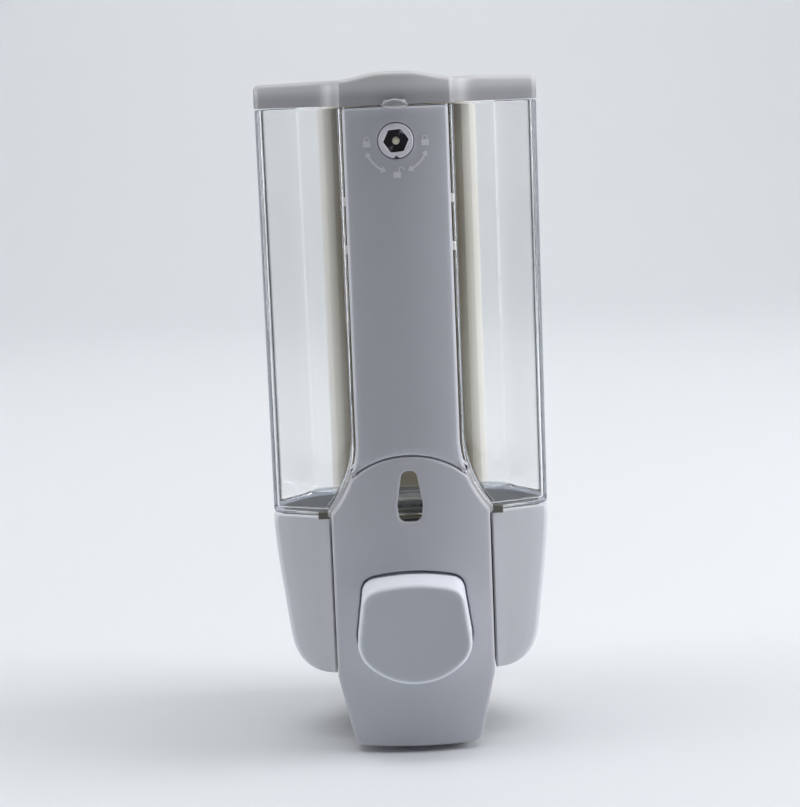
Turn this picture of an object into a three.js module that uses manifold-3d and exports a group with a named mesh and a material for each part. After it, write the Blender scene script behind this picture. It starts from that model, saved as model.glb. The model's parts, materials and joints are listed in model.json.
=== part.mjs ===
// Wall-mounted liquid soap dispenser: a clear tank on a grey base, a lockable hinged lid and a push button
// that drives a spring-returned piston pump. The whole dispenser hangs on a plate screwed to the wall.
// Millimetres. +Z is up, the user stands at -Y, and the wall is the plane y = 0. The origin is the middle
// of the wall plate's back face.
import * as THREE from "three";
import { mergeVertices } from "three/addons/utils/BufferGeometryUtils.js";
import Module from "manifold-3d";

const wasm = await Module();
wasm.setup();

// ---------- driving dimensions ----------
const HALF_WIDTH = 44; // lid, tank and base are all 88 wide
const WALL = 2; // moulded grey and white plastic
const TANK_WALL = 1.6;
const GAP = 0.4; // between pieces that touch or pass each other
const CURVE_STEPS = 4; // segments in a rounded corner
const ROUND = 20; // sides of a turned piece

// heights
const Z_CROWN = 105.5; // middle of the lid, at the front
const Z_RIM = 94.4; // top of the tank
const Z_DECK = -33.6; // underside of the tank
const Z_CASING_FOOT = -84.5; // underside of the two side casings
const Z_FOOT = -105; // underside of the front panel
const Z_FRAME_FOOT = -107; // underside of the back frame
// depths
const Y_FRAME = -23.2; // front face of the back frame
const Y_BACK = -23.6; // back of the tank, the base and the lid
const Y_CORNER = -57; // front of the tank's two wings at their outer corners
const Y_WING = -67; // and where they meet the front panel
const Y_PANEL_BACK = -67.4;
const Y_BULGE = -72.4; // front of the tank's middle bulge
const Y_FRONT = -84; // middle of the front column and the front panel
const Y_BUTTON = -96; // face of the push button

// front view
const COLUMN_EDGE = 16; // half width of the front column
const PANEL_EDGE = 24.65; // half width of the front panel
const BULGE_MARGIN = 1.5; // how far the clear bulge stands out beside the column
const FLARE_TOP = -7.5; // where the column starts to widen
const FLARE_RADIUS = 34.9;
const SHOULDER = -30.5; // where the panel reaches its full width
const SEAM_TOP = -12.1; // the arched seam between column and panel
const SEAM_RADIUS = 26.2;
const CLIP_ROWS = [51.2, 65.9]; // heights of the column's clips
const FRONT_CROWN = 120; // the front bows by x squared over this

// moving pieces
const BUTTON_TOP = -49.2;
const BUTTON_FOOT = -82.2;
const PUMP_Z = -65;
const PORT_Y = -46; // inlet, outlet and tank neck share this vertical line
const LOCK_Z = 84;
const HINGE_Y = -9.5;
const HINGE_Z = 97.5;

// ---------- solids ----------
const X = new THREE.Vector3(1, 0, 0);
const Y = new THREE.Vector3(0, 1, 0);
const Z = new THREE.Vector3(0, 0, 1);

function solidOf(geometry) {
  const bare = geometry.clone();
  bare.deleteAttribute("normal");
  bare.deleteAttribute("uv");
  const merged = mergeVertices(bare, 1e-4);
  return new wasm.Manifold(
    new wasm.Mesh({
      numProp: 3,
      vertProperties: merged.attributes.position.array,
      triVerts: new Uint32Array(merged.index.array),
    }),
  );
}

function extruded(shape, length, basis) {
  const geometry = new THREE.ExtrudeGeometry(shape, {
    depth: length,
    bevelEnabled: false,
    curveSegments: CURVE_STEPS,
  });
  return geometry.applyMatrix4(basis);
}

// Prisms between two planes: the sketch is (y, z) along X, (x, z) along Y and (x, y) along Z.
function prismX(shape, from, to) {
  const basis = new THREE.Matrix4().makeBasis(Y, Z, X);
  return solidOf(extruded(shape, to - from, basis).translate(from, 0, 0));
}

function prismY(shape, from, to) {
  const basis = new THREE.Matrix4().makeBasis(X, Z, Y.clone().negate());
  return solidOf(extruded(shape, to - from, basis).translate(0, to, 0));
}

function prismZ(shape, from, to) {
  return solidOf(extruded(shape, to - from, new THREE.Matrix4()).translate(0, 0, from));
}

function box(x0, x1, y0, y1, z0, z1) {
  const geometry = new THREE.BoxGeometry(x1 - x0, y1 - y0, z1 - z0);
  return solidOf(geometry.translate((x0 + x1) / 2, (y0 + y1) / 2, (z0 + z1) / 2));
}

// A piece turned about a line parallel to Z through (x, y); profile points are [radius, z].
function turnedZ(x, y, profile, sides = ROUND) {
  const points = profile.map(([r, z]) => new THREE.Vector2(r, z));
  const geometry = new THREE.LatheGeometry([...points, points[0].clone()], sides);
  return solidOf(geometry.rotateX(Math.PI / 2).translate(x, y, 0));
}

// A piece turned about a line parallel to Y through (x, z); profile points are [radius, y].
function turnedY(x, z, profile, sides = ROUND) {
  const points = profile.map(([r, y]) => new THREE.Vector2(r, y));
  const geometry = new THREE.LatheGeometry([...points, points[0].clone()], sides);
  return solidOf(geometry.translate(x, 0, z));
}

function rodX(radius, x0, x1, y, z, sides = ROUND) {
  const geometry = new THREE.CylinderGeometry(radius, radius, x1 - x0, sides);
  return solidOf(geometry.rotateZ(Math.PI / 2).translate((x0 + x1) / 2, y, z));
}

function rodY(radius, x, z, y0, y1, sides = ROUND) {
  return turnedY(x, z, [[0, y0], [radius, y0], [radius, y1], [0, y1]], sides);
}

function rodZ(radius, x, y, z0, z1, sides = ROUND) {
  return turnedZ(x, y, [[0, z0], [radius, z0], [radius, z1], [0, z1]], sides);
}

function union(solids) {
  return solids.reduce((a, b) => a.add(b));
}

// A round-wire spring about a line parallel to `along`, from `start` for `length`.
class Helix extends THREE.Curve {
  constructor(radius, turns, length) {
    super();
    this.radius = radius;
    this.turns = turns;
    this.length = length;
  }

  getPoint(t, target = new THREE.Vector3()) {
    const a = 2 * Math.PI * this.turns * t;
    return target.set(this.radius * Math.cos(a), this.radius * Math.sin(a), this.length * t);
  }
}

function spring(radius, wire, turns, length) {
  const section = new THREE.Shape().absarc(0, 0, wire, 0, 2 * Math.PI, false);
  return new THREE.ExtrudeGeometry(section, {
    steps: Math.round(turns * 12),
    bevelEnabled: false,
    curveSegments: 6,
    extrudePath: new Helix(radius, turns, length - 2 * wire),
  }).translate(0, 0, wire);
}

// ---------- sketches ----------
// A closed outline through corners [u, v, radius]; a corner with a radius is rounded.
function sketch(corners) {
  const points = corners.map(([u, v]) => new THREE.Vector2(u, v));
  const shape = new THREE.Shape();
  points.forEach((corner, i) => {
    const radius = corners[i][2] ?? 0;
    const before = points.at(i - 1).clone().sub(corner).setLength(radius).add(corner);
    const after = points[(i + 1) % points.length].clone().sub(corner).setLength(radius).add(corner);
    if (i === 0) shape.moveTo(before.x, before.y);
    else shape.lineTo(before.x, before.y);
    if (radius > 0) shape.quadraticCurveTo(corner.x, corner.y, after.x, after.y);
  });
  shape.closePath();
  return shape;
}

// The right half of an outline, bottom to top, and its mirror image.
function mirrored(rightHalf) {
  const leftHalf = rightHalf.filter(([u]) => u !== 0).map(([u, v, r]) => [-u, v, r]);
  return [...rightHalf, ...leftHalf.reverse()];
}

function rectangle(u0, u1, v0, v1, radius = 0) {
  return sketch([[u0, v0, radius], [u1, v0, radius], [u1, v1, radius], [u0, v1, radius]]);
}

// A convex anticlockwise outline moved in by a distance, with its corner radii reduced to suit.
function insetBy(corners, distance) {
  const count = corners.length;
  const line = (i) => {
    const [u0, v0] = corners[i];
    const [u1, v1] = corners[(i + 1) % count];
    const length = Math.hypot(u1 - u0, v1 - v0);
    const normal = [-(v1 - v0) / length, (u1 - u0) / length];
    return [...normal, normal[0] * u0 + normal[1] * v0 + distance];
  };
  return corners.map(([, , radius = 0], i) => {
    const [a, b, c] = line((i + count - 1) % count);
    const [d, e, f] = line(i);
    const det = a * e - b * d;
    return [(c * e - b * f) / det, (a * f - c * d) / det, Math.max(radius - distance, 0)];
  });
}

function steps(from, to, count) {
  return Array.from({ length: count + 1 }, (_, i) => from + ((to - from) * i) / count);
}

// Half width of the front strip, widening below FLARE_TOP in an arc.
function flare(z) {
  const drop = THREE.MathUtils.clamp(FLARE_TOP - z, 0, FLARE_TOP - SHOULDER);
  return COLUMN_EDGE + FLARE_RADIUS - Math.sqrt(FLARE_RADIUS ** 2 - drop ** 2);
}

// The front strip between two heights, its sides moved in by `inset`.
function strip(inset, z0, z1) {
  const bends = steps(SHOULDER, FLARE_TOP, 6).filter((z) => z > z0 && z < z1);
  return sketch(mirrored([z0, ...bends, z1].map((z) => [flare(z) - inset, z])));
}

// Everything under the arched seam, grown by `margin`; used only above SHOULDER - 6.
function underSeam(margin) {
  return rodY(SEAM_RADIUS + margin, 0, SEAM_TOP - SEAM_RADIUS, -95, -50, 48);
}

// Tank, base and lid from above: swept back beside the front panel, and narrowing towards the wall.
const WING_PLAN = mirrored([
  [22, Y_WING],
  [HALF_WIDTH, Y_CORNER, 3],
  [HALF_WIDTH, -43, 6],
  [32.5, Y_BACK, 4],
]);

function wings(inset, z0, z1) {
  return prismZ(sketch(insetBy(WING_PLAN, inset)), z0, z1);
}

// Everything behind the bowed front surface, moved back by `inset`.
function behindFront(inset, z0, z1) {
  const bow = steps(-26, 26, 12).map((x) => [x, Y_FRONT + inset + x ** 2 / FRONT_CROWN]);
  return prismZ(sketch([...bow, [26, -40], [-26, -40]]), z0, z1);
}

// The clear bulge from the front.
function bulgeOutline(inset, top) {
  const side = steps(SHOULDER, FLARE_TOP, 5).map((z) => [flare(z) + BULGE_MARGIN - inset, z]);
  return sketch(mirrored([[side[0][0], Z_DECK + inset], ...side, [side.at(-1)[0], top]]));
}

// ---------- the clear tank ----------
function tank() {
  const outer = wings(0, Z_DECK, Z_RIM).add(prismY(bulgeOutline(0, Z_RIM), Y_BULGE, -40));
  const hollow = wings(TANK_WALL, Z_DECK + TANK_WALL, Z_RIM + 1).add(
    prismY(bulgeOutline(TANK_WALL, Z_RIM + 1), Y_BULGE + TANK_WALL, -42),
  );
  const neck = rodZ(9, 0, PORT_Y, -41, Z_DECK + 0.5);
  return outer.subtract(hollow).add(neck).subtract(rodZ(6.5, 0, PORT_Y, -42, Z_DECK + 3));
}

// ---------- the base under the tank ----------
function baseHousing() {
  const top = Z_DECK - GAP;
  const casing = mirrored([
    [HALF_WIDTH - 5.4, Z_CASING_FOOT, 13],
    [HALF_WIDTH - 0.4, -42, 7],
    [HALF_WIDTH, top],
  ]);
  const outer = prismY(sketch(casing), -70, Y_BACK).intersect(wings(0, -90, top));
  const hollow = prismY(sketch(insetBy(casing, WALL)), -70, Y_BACK).intersect(wings(WALL, -90, top));
  const doorway = PANEL_EDGE - WALL;
  const middle = box(-doorway, doorway, -70, Y_BACK - WALL, -90, top - WALL);
  const shelf = box(-doorway + GAP, doorway - GAP, -71.5, Y_WING + WALL, top - WALL, top);
  // A plate between the casings, which the front panel is screwed to.
  const bridgeOutline = sketch(mirrored([[17, -96], [17, -85], [24, -85], [24, -80]]));
  const bridge = prismY(bridgeOutline, Y_WING, Y_WING + WALL);
  const post = box(-4, 4, -39.6, Y_BACK, -69, -61);
  const posts = FRAME_SCREWS.map(([x, z]) => rodY(4, x, z, -36, Y_BACK, 12));
  const drilled = [
    ...FRAME_SCREWS.map(([x, z]) => rodY(1.7, x, z, -35, -20, 10)),
    ...PANEL_SCREWS.map(([x, z]) => rodY(1.9, x, z, -70, -60, 10)),
    rodZ(9.6, 0, PORT_Y, -40, -30),
  ];
  const shell = outer.subtract(hollow).subtract(middle);
  return union([shell, shelf, bridge, post, ...posts]).subtract(union(drilled));
}

// ---------- the front ----------
function frontColumn() {
  const body = (inset, back) =>
    prismY(strip(inset, SHOULDER, Z_RIM - inset), -90, back)
      .subtract(underSeam(GAP / 2 + inset))
      .intersect(behindFront(inset, -40, 100));
  const outer = body(0, Y_BULGE - GAP);
  const hollow = body(WALL, Y_BULGE + 1);
  const sleeve = turnedY(0, LOCK_Z, [[4.7, -82.5], [7.5, -82.5], [7.5, -77.3], [4.7, -77.3]]);
  const hole = rodY(5.75, 0, LOCK_Z, -90, -78.7).add(rodY(4.7, 0, LOCK_Z, -79, -76));
  // Two small clips on each side, which snap over ribs of the bulge.
  const clips = CLIP_ROWS.map((z) => {
    const bar = box(-COLUMN_EDGE - 1, COLUMN_EDGE + 1, -76, Y_BULGE - GAP, z - 1.25, z + 1.25);
    return bar.subtract(box(-COLUMN_EDGE + 1, COLUMN_EDGE - 1, -80, -70, z - 2, z + 2));
  });
  // Room for the lid's catch and for the pins of the lock's cam beside it.
  const catchSlot = box(-6, 6, -77.3, Y_BULGE, Z_RIM - 5, Z_RIM + 1);
  return union([outer.subtract(hollow), sleeve, ...clips]).subtract(hole).subtract(catchSlot);
}

// Outline of the button and of its hole in the panel, grown by `margin`.
function buttonOutline(margin) {
  const arcCentre = BUTTON_FOOT + 20.7;
  const arc = steps(0, 14, 4).map((x) => [x, arcCentre - Math.sqrt((20.7 + margin) ** 2 - x ** 2)]);
  return sketch(
    mirrored([
      ...arc,
      [17.4 + margin, -71.5, 2.5],
      [15.9 + margin, BUTTON_TOP - 1.2 + margin, 4],
      [6, BUTTON_TOP - 0.1 + margin],
    ]),
  );
}

function windowOutline() {
  return sketch(mirrored([[3.1, -32.6, 2], [3.9, -26, 3], [2.4, -16.9, 2.2]]));
}

function frontPanel() {
  const join = SHOULDER - 6;
  // From the side: upright down to the button's foot, then sloping back a little.
  const sideView = (inset) =>
    sketch([
      [-88, 0],
      [Y_FRONT - 0.2 + inset, -82, 12],
      [Y_FRONT + 2.8 + inset, Z_FOOT - 1],
      [-50, Z_FOOT - 1],
      [-50, 0],
    ]);
  const body = (inset, back) => {
    const edge = PANEL_EDGE - inset;
    const skirt = sketch(mirrored([[19.4 - inset, Z_FOOT + inset, 4 - inset], [edge, -82, 3], [edge, join]]));
    const arch = prismY(strip(inset, join, SEAM_TOP), -90, back).intersect(underSeam(-GAP / 2 - inset));
    return prismY(skirt, -90, back)
      .add(arch)
      .intersect(behindFront(inset, -110, 0))
      .intersect(prismX(sideView(inset), -30, 30));
  };
  const overTank = box(-30, 30, Y_BULGE - GAP, -50, Z_DECK - GAP, 0);
  const shell = body(0, Y_PANEL_BACK).subtract(body(WALL, -50)).subtract(overTank);
  const posts = PANEL_SCREWS.map(([x, z]) => rodY(3.4, x, z, -82.4, Y_PANEL_BACK, 12));
  const pilots = PANEL_SCREWS.map(([x, z]) => rodY(1.6, x, z, -80, -60, 10));
  const openings = [prismY(buttonOutline(0.5), -90, -70), prismY(windowOutline(), -90, -75)];
  return union([shell, ...posts]).subtract(union([...pilots, ...openings]));
}

// ---------- the lid ----------
function lid() {
  const z0 = Z_RIM + GAP;
  const ceiling = 99.6;
  const bulge = (inset) => {
    const half = COLUMN_EDGE + BULGE_MARGIN - inset;
    const bow = steps(-half, half, 8).map((x) => [x, Y_FRONT + inset + x ** 2 / FRONT_CROWN]);
    return sketch([...bow, [half, -50], [-half, -50]]);
  };
  // From the front: a low crown over the column, then nearly flat to the edges.
  const crown = steps(COLUMN_EDGE, 0, 4).map((x) => {
    const drop = Math.sin((x / COLUMN_EDGE) * (Math.PI / 2)) ** 2;
    return [x, Z_CROWN - 2.7 * drop];
  });
  const frontView = mirrored([[HALF_WIDTH + 1, Z_RIM], [HALF_WIDTH + 1, 101.9], ...crown]);
  const outer = wings(0, z0, 107)
    .add(prismZ(bulge(0), z0, 107))
    .intersect(prismY(sketch(frontView), -90, 0));
  const hollow = wings(WALL, Z_RIM, ceiling).add(prismZ(bulge(WALL), Z_RIM, ceiling));
  const knuckle = sketch([
    [HINGE_Y + 3, HINGE_Z - 3, 2.4],
    [HINGE_Y + 3, HINGE_Z + 3, 2.4],
    [Y_BACK - WALL, HINGE_Z + 3],
    [Y_BACK - WALL, HINGE_Z - 1.8],
  ]);
  const tab = sketch([[-4.4, -82], [-3.2, -86.4, 1.5], [3.2, -86.4, 1.5], [4.4, -82]]);
  // The pins of the lock's cam turn in over the foot of this catch.
  const latch = box(-0.9, 0.9, -74.6, -73.2, 88, 100).add(box(-2.6, 2.6, -74.6, -73.2, 87.9, 89.7));
  return union([outer.subtract(hollow), prismX(knuckle, -11.5, 11.5), prismZ(tab, z0, z0 + 2), latch])
    .subtract(rodX(1.8, -12, 12, HINGE_Y, HINGE_Z, 12));
}

// ---------- the button and the pump ----------
function pushButton() {
  const sideView = sketch([
    [-98, -81.2],
    [-70, -84],
    [-70, -47.4],
    [-79, BUTTON_TOP],
    [-98, BUTTON_TOP - 1.8],
  ]);
  const dish = steps(-1, 1, 8).map((t) => [20 * t, Y_BUTTON + 0.8 * (1 - t ** 2)]);
  const front = prismZ(sketch([...dish, [20, -70], [-20, -70]]), -90, -40);
  const cap = prismY(buttonOutline(0), -99, -76.6).intersect(prismX(sideView, -25, 25)).intersect(front);
  const hollow = prismY(buttonOutline(-WALL), Y_BUTTON + 3, -70);
  const flange = prismY(buttonOutline(1.9), -78.4, -76.6).subtract(prismY(buttonOutline(-WALL), -79, -70));
  const stem = rodY(6.5, 0, PUMP_Z, Y_BUTTON + 2.5, -79.2);
  return union([cap.subtract(hollow), flange, stem]).subtract(rodY(2.9, 0, PUMP_Z, -88.4, -70));
}

function plunger() {
  const rod = rodY(2.6, 0, PUMP_Z, -88, -57);
  const head = turnedY(0, PUMP_Z, [
    [0, -61], [5.8, -61], [5.8, -60.2], [4.4, -60.2], [4.4, -57.8], [5.8, -57.8], [5.8, -57], [0, -57],
  ]);
  return rod.add(head);
}

function pistonSeal() {
  return turnedY(0, PUMP_Z, [[4.7, -59.9], [6.4, -59.9], [6.7, -59], [6.4, -58.1], [4.7, -58.1]]);
}

const BALL = 2.4;
const SEAT = 1.8;
const INLET_SEAT_Z = -46;
const OUTLET_SEAT_Z = -77.5;

function pumpBody() {
  const barrel = rodY(9.5, 0, PUMP_Z, -64, -39.9);
  const inlet = turnedZ(0, PORT_Y, [
    [0, -60], [5.2, -60], [5.2, -44.6], [8.6, -44.6], [8.6, -42.5], [0, -42.5],
  ]);
  const outlet = rodZ(5, 0, PORT_Y, -91, -70);
  const chamber = rodY(7, 0, PUMP_Z, -66, -41.6);
  const passages = [
    rodZ(SEAT, 0, PORT_Y, -60, -40, 12),
    rodZ(3.2, 0, PORT_Y, -60, INLET_SEAT_Z, 12),
    rodZ(SEAT, 0, PORT_Y, -80, -70, 12),
    rodZ(3.2, 0, PORT_Y, -92, OUTLET_SEAT_Z, 12),
  ];
  return union([barrel, inlet, outlet]).subtract(chamber).subtract(union(passages));
}

function pumpCap() {
  return turnedY(0, PUMP_Z, [
    [3.2, -66.6], [11.4, -66.6], [11.4, -59.6], [9.9, -59.6], [9.9, -64.3], [3.2, -64.3],
  ]);
}

function outletNut() {
  const cup = turnedZ(0, PORT_Y, [
    [5.7, -47], [12.6, -47], [12.6, -36.2], [9.3, -36.2], [9.3, -44.9], [5.7, -44.9],
  ]);
  const grips = steps(0, 7, 7).map((i) => {
    const a = (i * Math.PI) / 4;
    return rodZ(1.1, 12.9 * Math.cos(a), PORT_Y + 12.9 * Math.sin(a), -48, -35, 8);
  });
  return cup.subtract(union(grips));
}

function tankGasket() {
  return turnedZ(0, PORT_Y, [[6, -42.2], [8.6, -42.2], [8.6, -41.3], [6, -41.3]]);
}

function valveBall(seatZ) {
  const centre = seatZ - Math.sqrt(BALL ** 2 - SEAT ** 2) - 0.25;
  return solidOf(new THREE.SphereGeometry(BALL, 14, 8).rotateX(Math.PI / 2).translate(0, PORT_Y, centre));
}

function inletCage() {
  return turnedZ(0, PORT_Y, [[1.3, -57.7], [3, -57.7], [3, -56.7], [1.3, -56.7]], 12);
}

function nozzleTip() {
  return turnedZ(0, PORT_Y, [
    [1.7, -103.5], [3.1, -103.5], [3.6, -97.5], [6.8, -93.4],
    [6.8, -86], [5.3, -86], [5.3, -91.3], [1.7, -91.3],
  ]);
}

// ---------- the lock ----------
function lockCylinder() {
  const body = turnedY(0, LOCK_Z, [
    [0, -84.5], [4.9, -84.5], [5.3, -84.1], [5.3, -79.1], [4.3, -79.1], [4.3, -77], [0, -77],
  ], 28);
  const drive = box(-2.2, 2.2, -77.2, -75.1, LOCK_Z - 2.2, LOCK_Z + 2.2);
  const hexagon = sketch(steps(0, 5, 5).map((i) => {
    const a = (i * Math.PI) / 3;
    return [3.9 * Math.cos(a), LOCK_Z + 3.9 * Math.sin(a)];
  }));
  const notch = box(-0.6, 0.6, -85, -83.4, LOCK_Z - 6, LOCK_Z - 4.5);
  return union([body, drive])
    .subtract(prismY(hexagon, -85, -79.4))
    .subtract(rodY(1.45, 0, LOCK_Z, -80, -78.5, 12))
    .subtract(rodY(1.65, 0, LOCK_Z, -77.7, -74, 10))
    .subtract(notch);
}

function lockPin() {
  return turnedY(0, LOCK_Z, [[0, -83.6], [0.8, -83.6], [1.15, -83.2], [1.15, -78.8], [0, -78.8]], 14);
}

const CAM_PIN_X = 7.6; // distance of the cam's two pins from the lock's axis

function lockCam() {
  const arms = prismY(rectangle(-9.6, 9.6, LOCK_Z - 2, LOCK_Z + 2, 1.6), -76.9, -75.4);
  const hub = rodY(4.6, 0, LOCK_Z, -76.9, -75.4, 16);
  const pinHoles = [1, -1].map((side) => rodY(1.15, side * CAM_PIN_X, LOCK_Z, -78, -74, 12));
  const square = box(-2.5, 2.5, -78, -74, LOCK_Z - 2.5, LOCK_Z + 2.5);
  return arms.add(hub).subtract(union([square, ...pinHoles]));
}

function camPin(side) {
  return rodY(0.8, side * CAM_PIN_X, LOCK_Z, -76.9, -73, 12);
}

// ---------- the back frame and the wall plate ----------
const FRAME_SCREWS = [[-13.4, -48], [13.4, -48], [-13.4, -76], [13.4, -76]];
const PANEL_SCREWS = [[-12, -91], [12, -91]];
const HOOK_ROWS = [30, -60]; // height of the two rows of hooks
const WALL_HOLES = [[-12, 58], [12, 58], [-12, -30], [12, -30]];
const PLATE = 3;

function backFrame() {
  const half = 26;
  const outline = (inset) => {
    const edge = half - inset;
    const foot = Z_FRAME_FOOT + inset;
    return sketch(mirrored([[edge - 3, foot], [edge, foot + 3], [edge, 92 - inset]]));
  };
  // From above: a channel with well rounded front corners.
  const section = (inset) => {
    const edge = half - inset;
    return prismZ(sketch(mirrored([[edge, Y_FRAME + inset, 9 - inset], [edge, 2]])), -110, 100);
  };
  const outer = prismY(outline(0), Y_FRAME, -0.6).intersect(section(0));
  const hollow = prismY(outline(WALL), Y_FRAME + WALL, 1).intersect(section(WALL));
  const channel = outer.subtract(hollow);
  const bars = HOOK_ROWS.map((z) => box(-half + 1, half - 1, -6, -3.4, z + 3.4, z + 14));
  const ear = sketch([[-14.8, 90], [-5, 90], [-5, 101, 4], [-14, 101, 4]]);
  const ears = [prismX(ear, -16, -12), prismX(ear, 12, 16)];
  const hinge = rodX(1.8, -20, 20, HINGE_Y, HINGE_Z, 12);
  const screwHoles = FRAME_SCREWS.map(([x, z]) => rodY(1.9, x, z, -25, -15, 10));
  return union([channel, ...bars, ...ears]).subtract(union([hinge, ...screwHoles]));
}

function wallPlate() {
  const plate = prismY(rectangle(-20, 20, -80, 80, 4), -PLATE, 0);
  const hook = (x, z) => {
    const side = [
      [-2.5, z], [-2.5, z + 3], [-6.4, z + 3], [-6.4, z + 9], [-8.4, z + 9], [-8.4, z, 1.5],
    ];
    return prismX(sketch(side.reverse()), x - 5, x + 5);
  };
  const hooks = HOOK_ROWS.flatMap((z) => [hook(-12, z), hook(12, z)]);
  const countersink = [[0, -4], [5.1, -4], [5.1, -PLATE], [2.4, -0.9], [2.4, 1], [0, 1]];
  const holes = WALL_HOLES.map(([x, z]) => turnedY(x, z, countersink, 16));
  return union([plate, ...hooks]).subtract(union(holes));
}

function hingePin() {
  return rodX(1.45, -17, 17, HINGE_Y, HINGE_Z, 14).add(rodX(2.6, -17.6, -16.4, HINGE_Y, HINGE_Z, 14));
}

// A cross-head screw whose head starts at `seat` and whose shank runs from there towards -Y.
function screw(x, z, seat, length) {
  const body = turnedY(x, z, [
    [0, seat - length - 0.8], [1.35, seat - length], [1.35, seat],
    [3, seat], [3, seat + 1.2], [2.2, seat + 2], [0, seat + 2],
  ], 12);
  const slot = box(x - 2, x + 2, seat + 1.2, seat + 3, z - 0.4, z + 0.4);
  const cross = box(x - 0.4, x + 0.4, seat + 1.2, seat + 3, z - 2, z + 2);
  return body.subtract(slot).subtract(cross);
}

// ---------- assembly ----------
function plastic(color, roughness) {
  return new THREE.MeshStandardMaterial({ color, roughness, metalness: 0 });
}

const grey = plastic(0xa3a6ae, 0.4);
const white = plastic(0xe9e6da, 0.45);
const clear = plastic(0xdfe6e2, 0.05);
clear.transparent = true;
clear.opacity = 0.3;
const natural = plastic(0xf2f1ec, 0.5);
const black = plastic(0x26262a, 0.6);
const steel = new THREE.MeshStandardMaterial({ color: 0xb9bcc0, roughness: 0.3, metalness: 1 });

const dispenser = new THREE.Group();

function place(name, shape, material, parent = dispenser) {
  let geometry = shape;
  if (!shape.isBufferGeometry) {
    const made = shape.getMesh();
    geometry = new THREE.BufferGeometry();
    geometry.setAttribute("position", new THREE.BufferAttribute(made.vertProperties, 3));
    geometry.setIndex(new THREE.BufferAttribute(made.triVerts, 1));
  }
  const mesh = new THREE.Mesh(geometry, material);
  mesh.name = name;
  parent.add(mesh);
  return mesh;
}

place("wall_plate", wallPlate(), white);
place("back_frame", backFrame(), white);
place("tank", tank(), clear);
place("base_housing", baseHousing(), grey);
place("front_column", frontColumn(), grey);
place("front_panel", frontPanel(), grey);
place("lid", lid(), grey);
place("hinge_pin", hingePin(), steel);
place("push_button", pushButton(), grey);
place("plunger", plunger(), natural);
place("piston_seal", pistonSeal(), black);
place("pump_body", pumpBody(), natural);
place("pump_cap", pumpCap(), natural);
place("outlet_nut", outletNut(), natural);
place("tank_gasket", tankGasket(), black);
place("inlet_cage", inletCage(), natural);
place("nozzle_tip", nozzleTip(), natural);
place("inlet_ball", valveBall(INLET_SEAT_Z), steel);
place("outlet_ball", valveBall(OUTLET_SEAT_Z), steel);
place("lock_cylinder", lockCylinder(), grey);
place("lock_pin", lockPin(), white);
place("lock_cam", lockCam(), steel);
place("cam_pin_1", camPin(-1), steel);
place("cam_pin_2", camPin(1), steel);
place("cam_screw", screw(0, LOCK_Z, -74.8, 1.8), steel);

// The return spring sits between the pump's cap and the button's stem, along -Y.
const returnSpring = place("return_spring", spring(5, 0.5, 4, 12), steel);
returnSpring.rotation.x = Math.PI / 2;
returnSpring.position.set(0, -66.9, PUMP_Z);

// Each valve's spring holds its ball up against the seat.
const VALVE_SPRINGS = [
  ["inlet_spring", INLET_SEAT_Z, -56.4],
  ["outlet_spring", OUTLET_SEAT_Z, -91],
];
for (const [name, seatZ, foot] of VALVE_SPRINGS) {
  const top = seatZ - 2 * Math.sqrt(BALL ** 2 - SEAT ** 2) - 1;
  const coil = place(name, spring(1.6, 0.3, 5, top - foot), steel);
  coil.position.set(0, PORT_Y, foot);
}

const SCREW_GAP = 0.2; // under each head
FRAME_SCREWS.forEach(([x, z], i) => {
  place(`frame_screw_${i + 1}`, screw(x, z, Y_FRAME + WALL + SCREW_GAP, 12), steel);
});
PANEL_SCREWS.forEach(([x, z], i) => {
  place(`panel_screw_${i + 1}`, screw(x, z, Y_WING + WALL + SCREW_GAP, 13), steel);
});

export default dispenser;
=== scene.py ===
"""Looks for a wall-mounted liquid soap dispenser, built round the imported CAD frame.

Shapes are worked out in millimetres, in the frame's axes: +Z up, the user at -Y, the wall at y = 0.
"""

import json
import math

import bmesh
import bpy
import numpy as np
from mathutils import Matrix, Vector
from mathutils.geometry import delaunay_2d_cdt


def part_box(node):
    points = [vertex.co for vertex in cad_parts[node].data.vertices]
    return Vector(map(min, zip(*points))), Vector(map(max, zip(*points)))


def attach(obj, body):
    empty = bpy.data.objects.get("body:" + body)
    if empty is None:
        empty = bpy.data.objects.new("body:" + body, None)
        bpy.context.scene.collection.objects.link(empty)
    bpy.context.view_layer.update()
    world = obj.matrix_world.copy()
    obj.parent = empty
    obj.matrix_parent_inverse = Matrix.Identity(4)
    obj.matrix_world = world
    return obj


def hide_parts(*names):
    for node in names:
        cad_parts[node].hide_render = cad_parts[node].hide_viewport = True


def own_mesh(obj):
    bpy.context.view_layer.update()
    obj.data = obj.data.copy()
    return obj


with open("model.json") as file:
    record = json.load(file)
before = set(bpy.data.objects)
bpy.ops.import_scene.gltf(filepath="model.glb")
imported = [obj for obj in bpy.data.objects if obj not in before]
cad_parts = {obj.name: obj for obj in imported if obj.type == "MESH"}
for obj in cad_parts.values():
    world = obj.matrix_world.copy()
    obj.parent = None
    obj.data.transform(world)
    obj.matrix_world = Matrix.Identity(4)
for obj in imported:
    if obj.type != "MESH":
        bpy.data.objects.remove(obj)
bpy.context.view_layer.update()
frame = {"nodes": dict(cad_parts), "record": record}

MM = 0.001


def box_mm(node):
    """(lowest, highest) corner of a CAD node in millimetres."""
    low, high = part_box(node)
    return [c / MM for c in low], [c / MM for c in high]


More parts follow.
